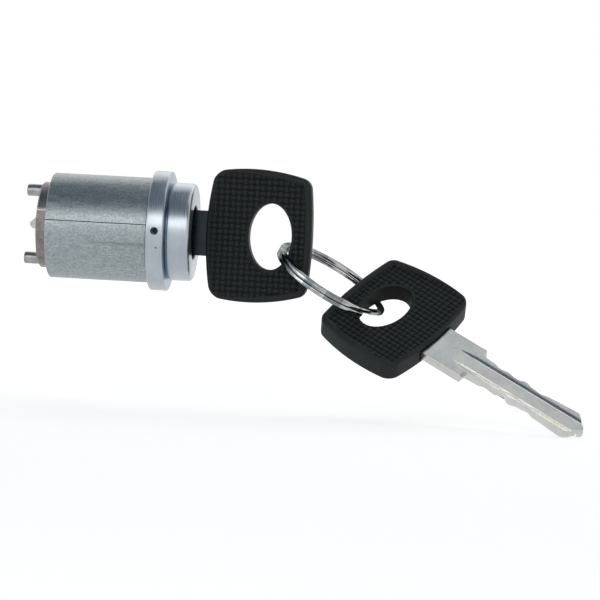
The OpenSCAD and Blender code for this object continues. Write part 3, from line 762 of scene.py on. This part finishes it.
spare_angle = radians(-19)
spare_in_hole, spare_lift, spare_room = 1.5, 1.16, 1.05
spare_pitch, spare_heading = radians(7), radians(168.7)
ring_h = 2 * wire_t + turn_gap
spare_edge = ring_r + spare_in_hole - hole_half_w
spare_chord = sqrt((ring_r - wire_w / 2) ** 2 - spare_edge ** 2)
spare_roll = asin((bow_half_t + ring_h / 2 + spare_room) / spare_chord)
spare_tilt = Euler((-pi / 2 - spare_roll, spare_pitch, spare_heading)).to_matrix().to_4x4()
spare_pose = (ring_pose @ Matrix.Rotation(spare_angle, 4, "Z")
              @ Matrix.Translation((ring_r + spare_in_hole, 0, spare_lift))
              @ spare_tilt @ Matrix.Translation((-hole_x, 0, 0)))

spare_nickel, tree, shader, place, colour = worn_metal("spare_nickel_silver", **nickel, pose=spare_pose)
# Painted highlight on the spare blade's grooves and land edge.
tree.links.new(painted_groove_highlight(tree, place, colour, spare_pose), shader.inputs["Base Color"])
spare_blade = eased_copy("spare_key_blade", blade_ease, blade_corner)
set_piece(spare_blade, "milled_spare_blade", "spare_key", "nickel_silver", spare_nickel, "spare_key_blade",
          sharp=blade_sharp)
keep_flats("milled_spare_blade")
bmesh.ops.transform(spare_bow, matrix=spare_pose, verts=spare_bow.verts[:])
set_piece(spare_bow, "moulded_spare_bow", "spare_key", "bow_plastic", plastic, "spare_key_head",
          sharp=smooth_angle)


# Floor, light and camera
# A white floor under a white sky, soft lamps over the camera, on the left and behind, and two blue-grey
# cards above, outside the picture, which the bare metal shows as its darker upper band.


def card(name, size, pose, colour, lift=0.0):
    """A flat plain card that belongs to the studio; lift brings it up to white for the eye and in metal."""
    bm = bmesh.new()
    bmesh.ops.create_grid(bm, x_segments=1, y_segments=1, size=0.5)
    bmesh.ops.scale(bm, vec=(*size, 1), verts=bm.verts[:])
    bmesh.ops.transform(bm, matrix=pose, verts=bm.verts[:])
    mesh = bpy.data.meshes.new(name)
    bm.to_mesh(mesh)
    bm.free()
    material = bpy.data.materials.new(name)
    material.use_nodes = True
    tree = material.node_tree
    shader = tree.nodes["Principled BSDF"]
    shader.inputs["Base Color"].default_value = (*colour, 1)
    shader.inputs["Roughness"].default_value = 1
    shader.inputs["Specular IOR Level"].default_value = 0
    shader.inputs["Emission Color"].default_value = (1, 1, 1, 1)
    tree.links.new(maths(tree, "MULTIPLY", seen(tree), lift), shader.inputs["Emission Strength"])
    mesh.materials.append(material)
    made = bpy.data.objects.new(name, mesh)
    bpy.context.scene.collection.objects.link(made)
    return made


def seen(tree):
    """1 for rays from the camera, off metal and through glass, and 0 for light that falls on a surface."""
    path = tree.nodes.new("ShaderNodeLightPath").outputs
    metal_or_glass = maths(tree, "MAXIMUM", path["Is Glossy Ray"], path["Is Transmission Ray"])
    return maths(tree, "MAXIMUM", path["Is Camera Ray"], metal_or_glass)


def lamp(name, place, size, power, tint=(1, 1, 1)):
    """A soft rectangular lamp turned to the middle of the object."""
    light = bpy.data.lights.new(name, "AREA")
    light.shape = "RECTANGLE"
    light.size, light.size_y = size
    light.energy = power
    light.color = tint
    made = bpy.data.objects.new(name, light)
    aim = (middle - Vector(place)).to_track_quat("-Z", "Y").to_matrix().to_4x4()
    made.matrix_world = Matrix.Translation(place) @ aim
    bpy.context.scene.collection.objects.link(made)


middle = (cad_low + cad_high) / 2
card("floor", (6, 6), Matrix.Translation((middle.x, middle.y, cad_low.z)), (0.7, 0.7, 0.7), lift=0.55)
high_card = card("high_card", (1.8, 0.55), Matrix.Translation((middle.x, -0.40, 0.45)), (0.26, 0.32, 0.40))
lock_card = card("lock_card", (1.0, 0.32), Matrix.Translation((-0.46, 0.03, 0.46)), (0.34, 0.40, 0.47))
# Only the metal shows the cards, so that they never stand before a view from above.
high_card.visible_camera = False
lock_card.visible_camera = False
lamp("front_softbox", (0.0, -0.95, 0.36), (0.9, 0.4), 1.6, tint=(1, 0.985, 0.97))
lamp("left_softbox", (-0.75, -0.6, 0.08), (0.5, 0.35), 0.9)
lamp("back_softbox", (0.15, 0.62, 0.5), (0.9, 0.35), 0.5, tint=(1, 0.97, 0.91))

daylight = 0.8
world = bpy.data.worlds.new("white_sky")
bpy.context.scene.world = world
world.use_nodes = True
tree = world.node_tree
sky = tree.nodes["Background"]
sky.inputs["Color"].default_value = (1, 1, 1, 1)
tree.links.new(maths(tree, "MAXIMUM", seen(tree), daylight), sky.inputs["Strength"])

view_azimuth, view_elevation, view_roll = radians(4.96), radians(1.71), radians(3.08)
view_distance = 743.9 * MM
view_aim = Vector((37.1, 2.76, -15.29)) * MM
level = cos(view_elevation)
back = Vector((sin(view_azimuth) * level, -cos(view_azimuth) * level, sin(view_elevation)))
lens = bpy.data.cameras.new("camera")
lens.sensor_width = 36
lens.lens = 180
camera = bpy.data.objects.new("camera", lens)
camera.rotation_mode = "QUATERNION"
camera.location = view_aim + back * view_distance
camera.rotation_quaternion = (-back).to_track_quat("-Z", "Y") @ Quaternion((0, 0, 1), view_roll)
bpy.context.scene.collection.objects.link(camera)
bpy.context.scene.camera = camera
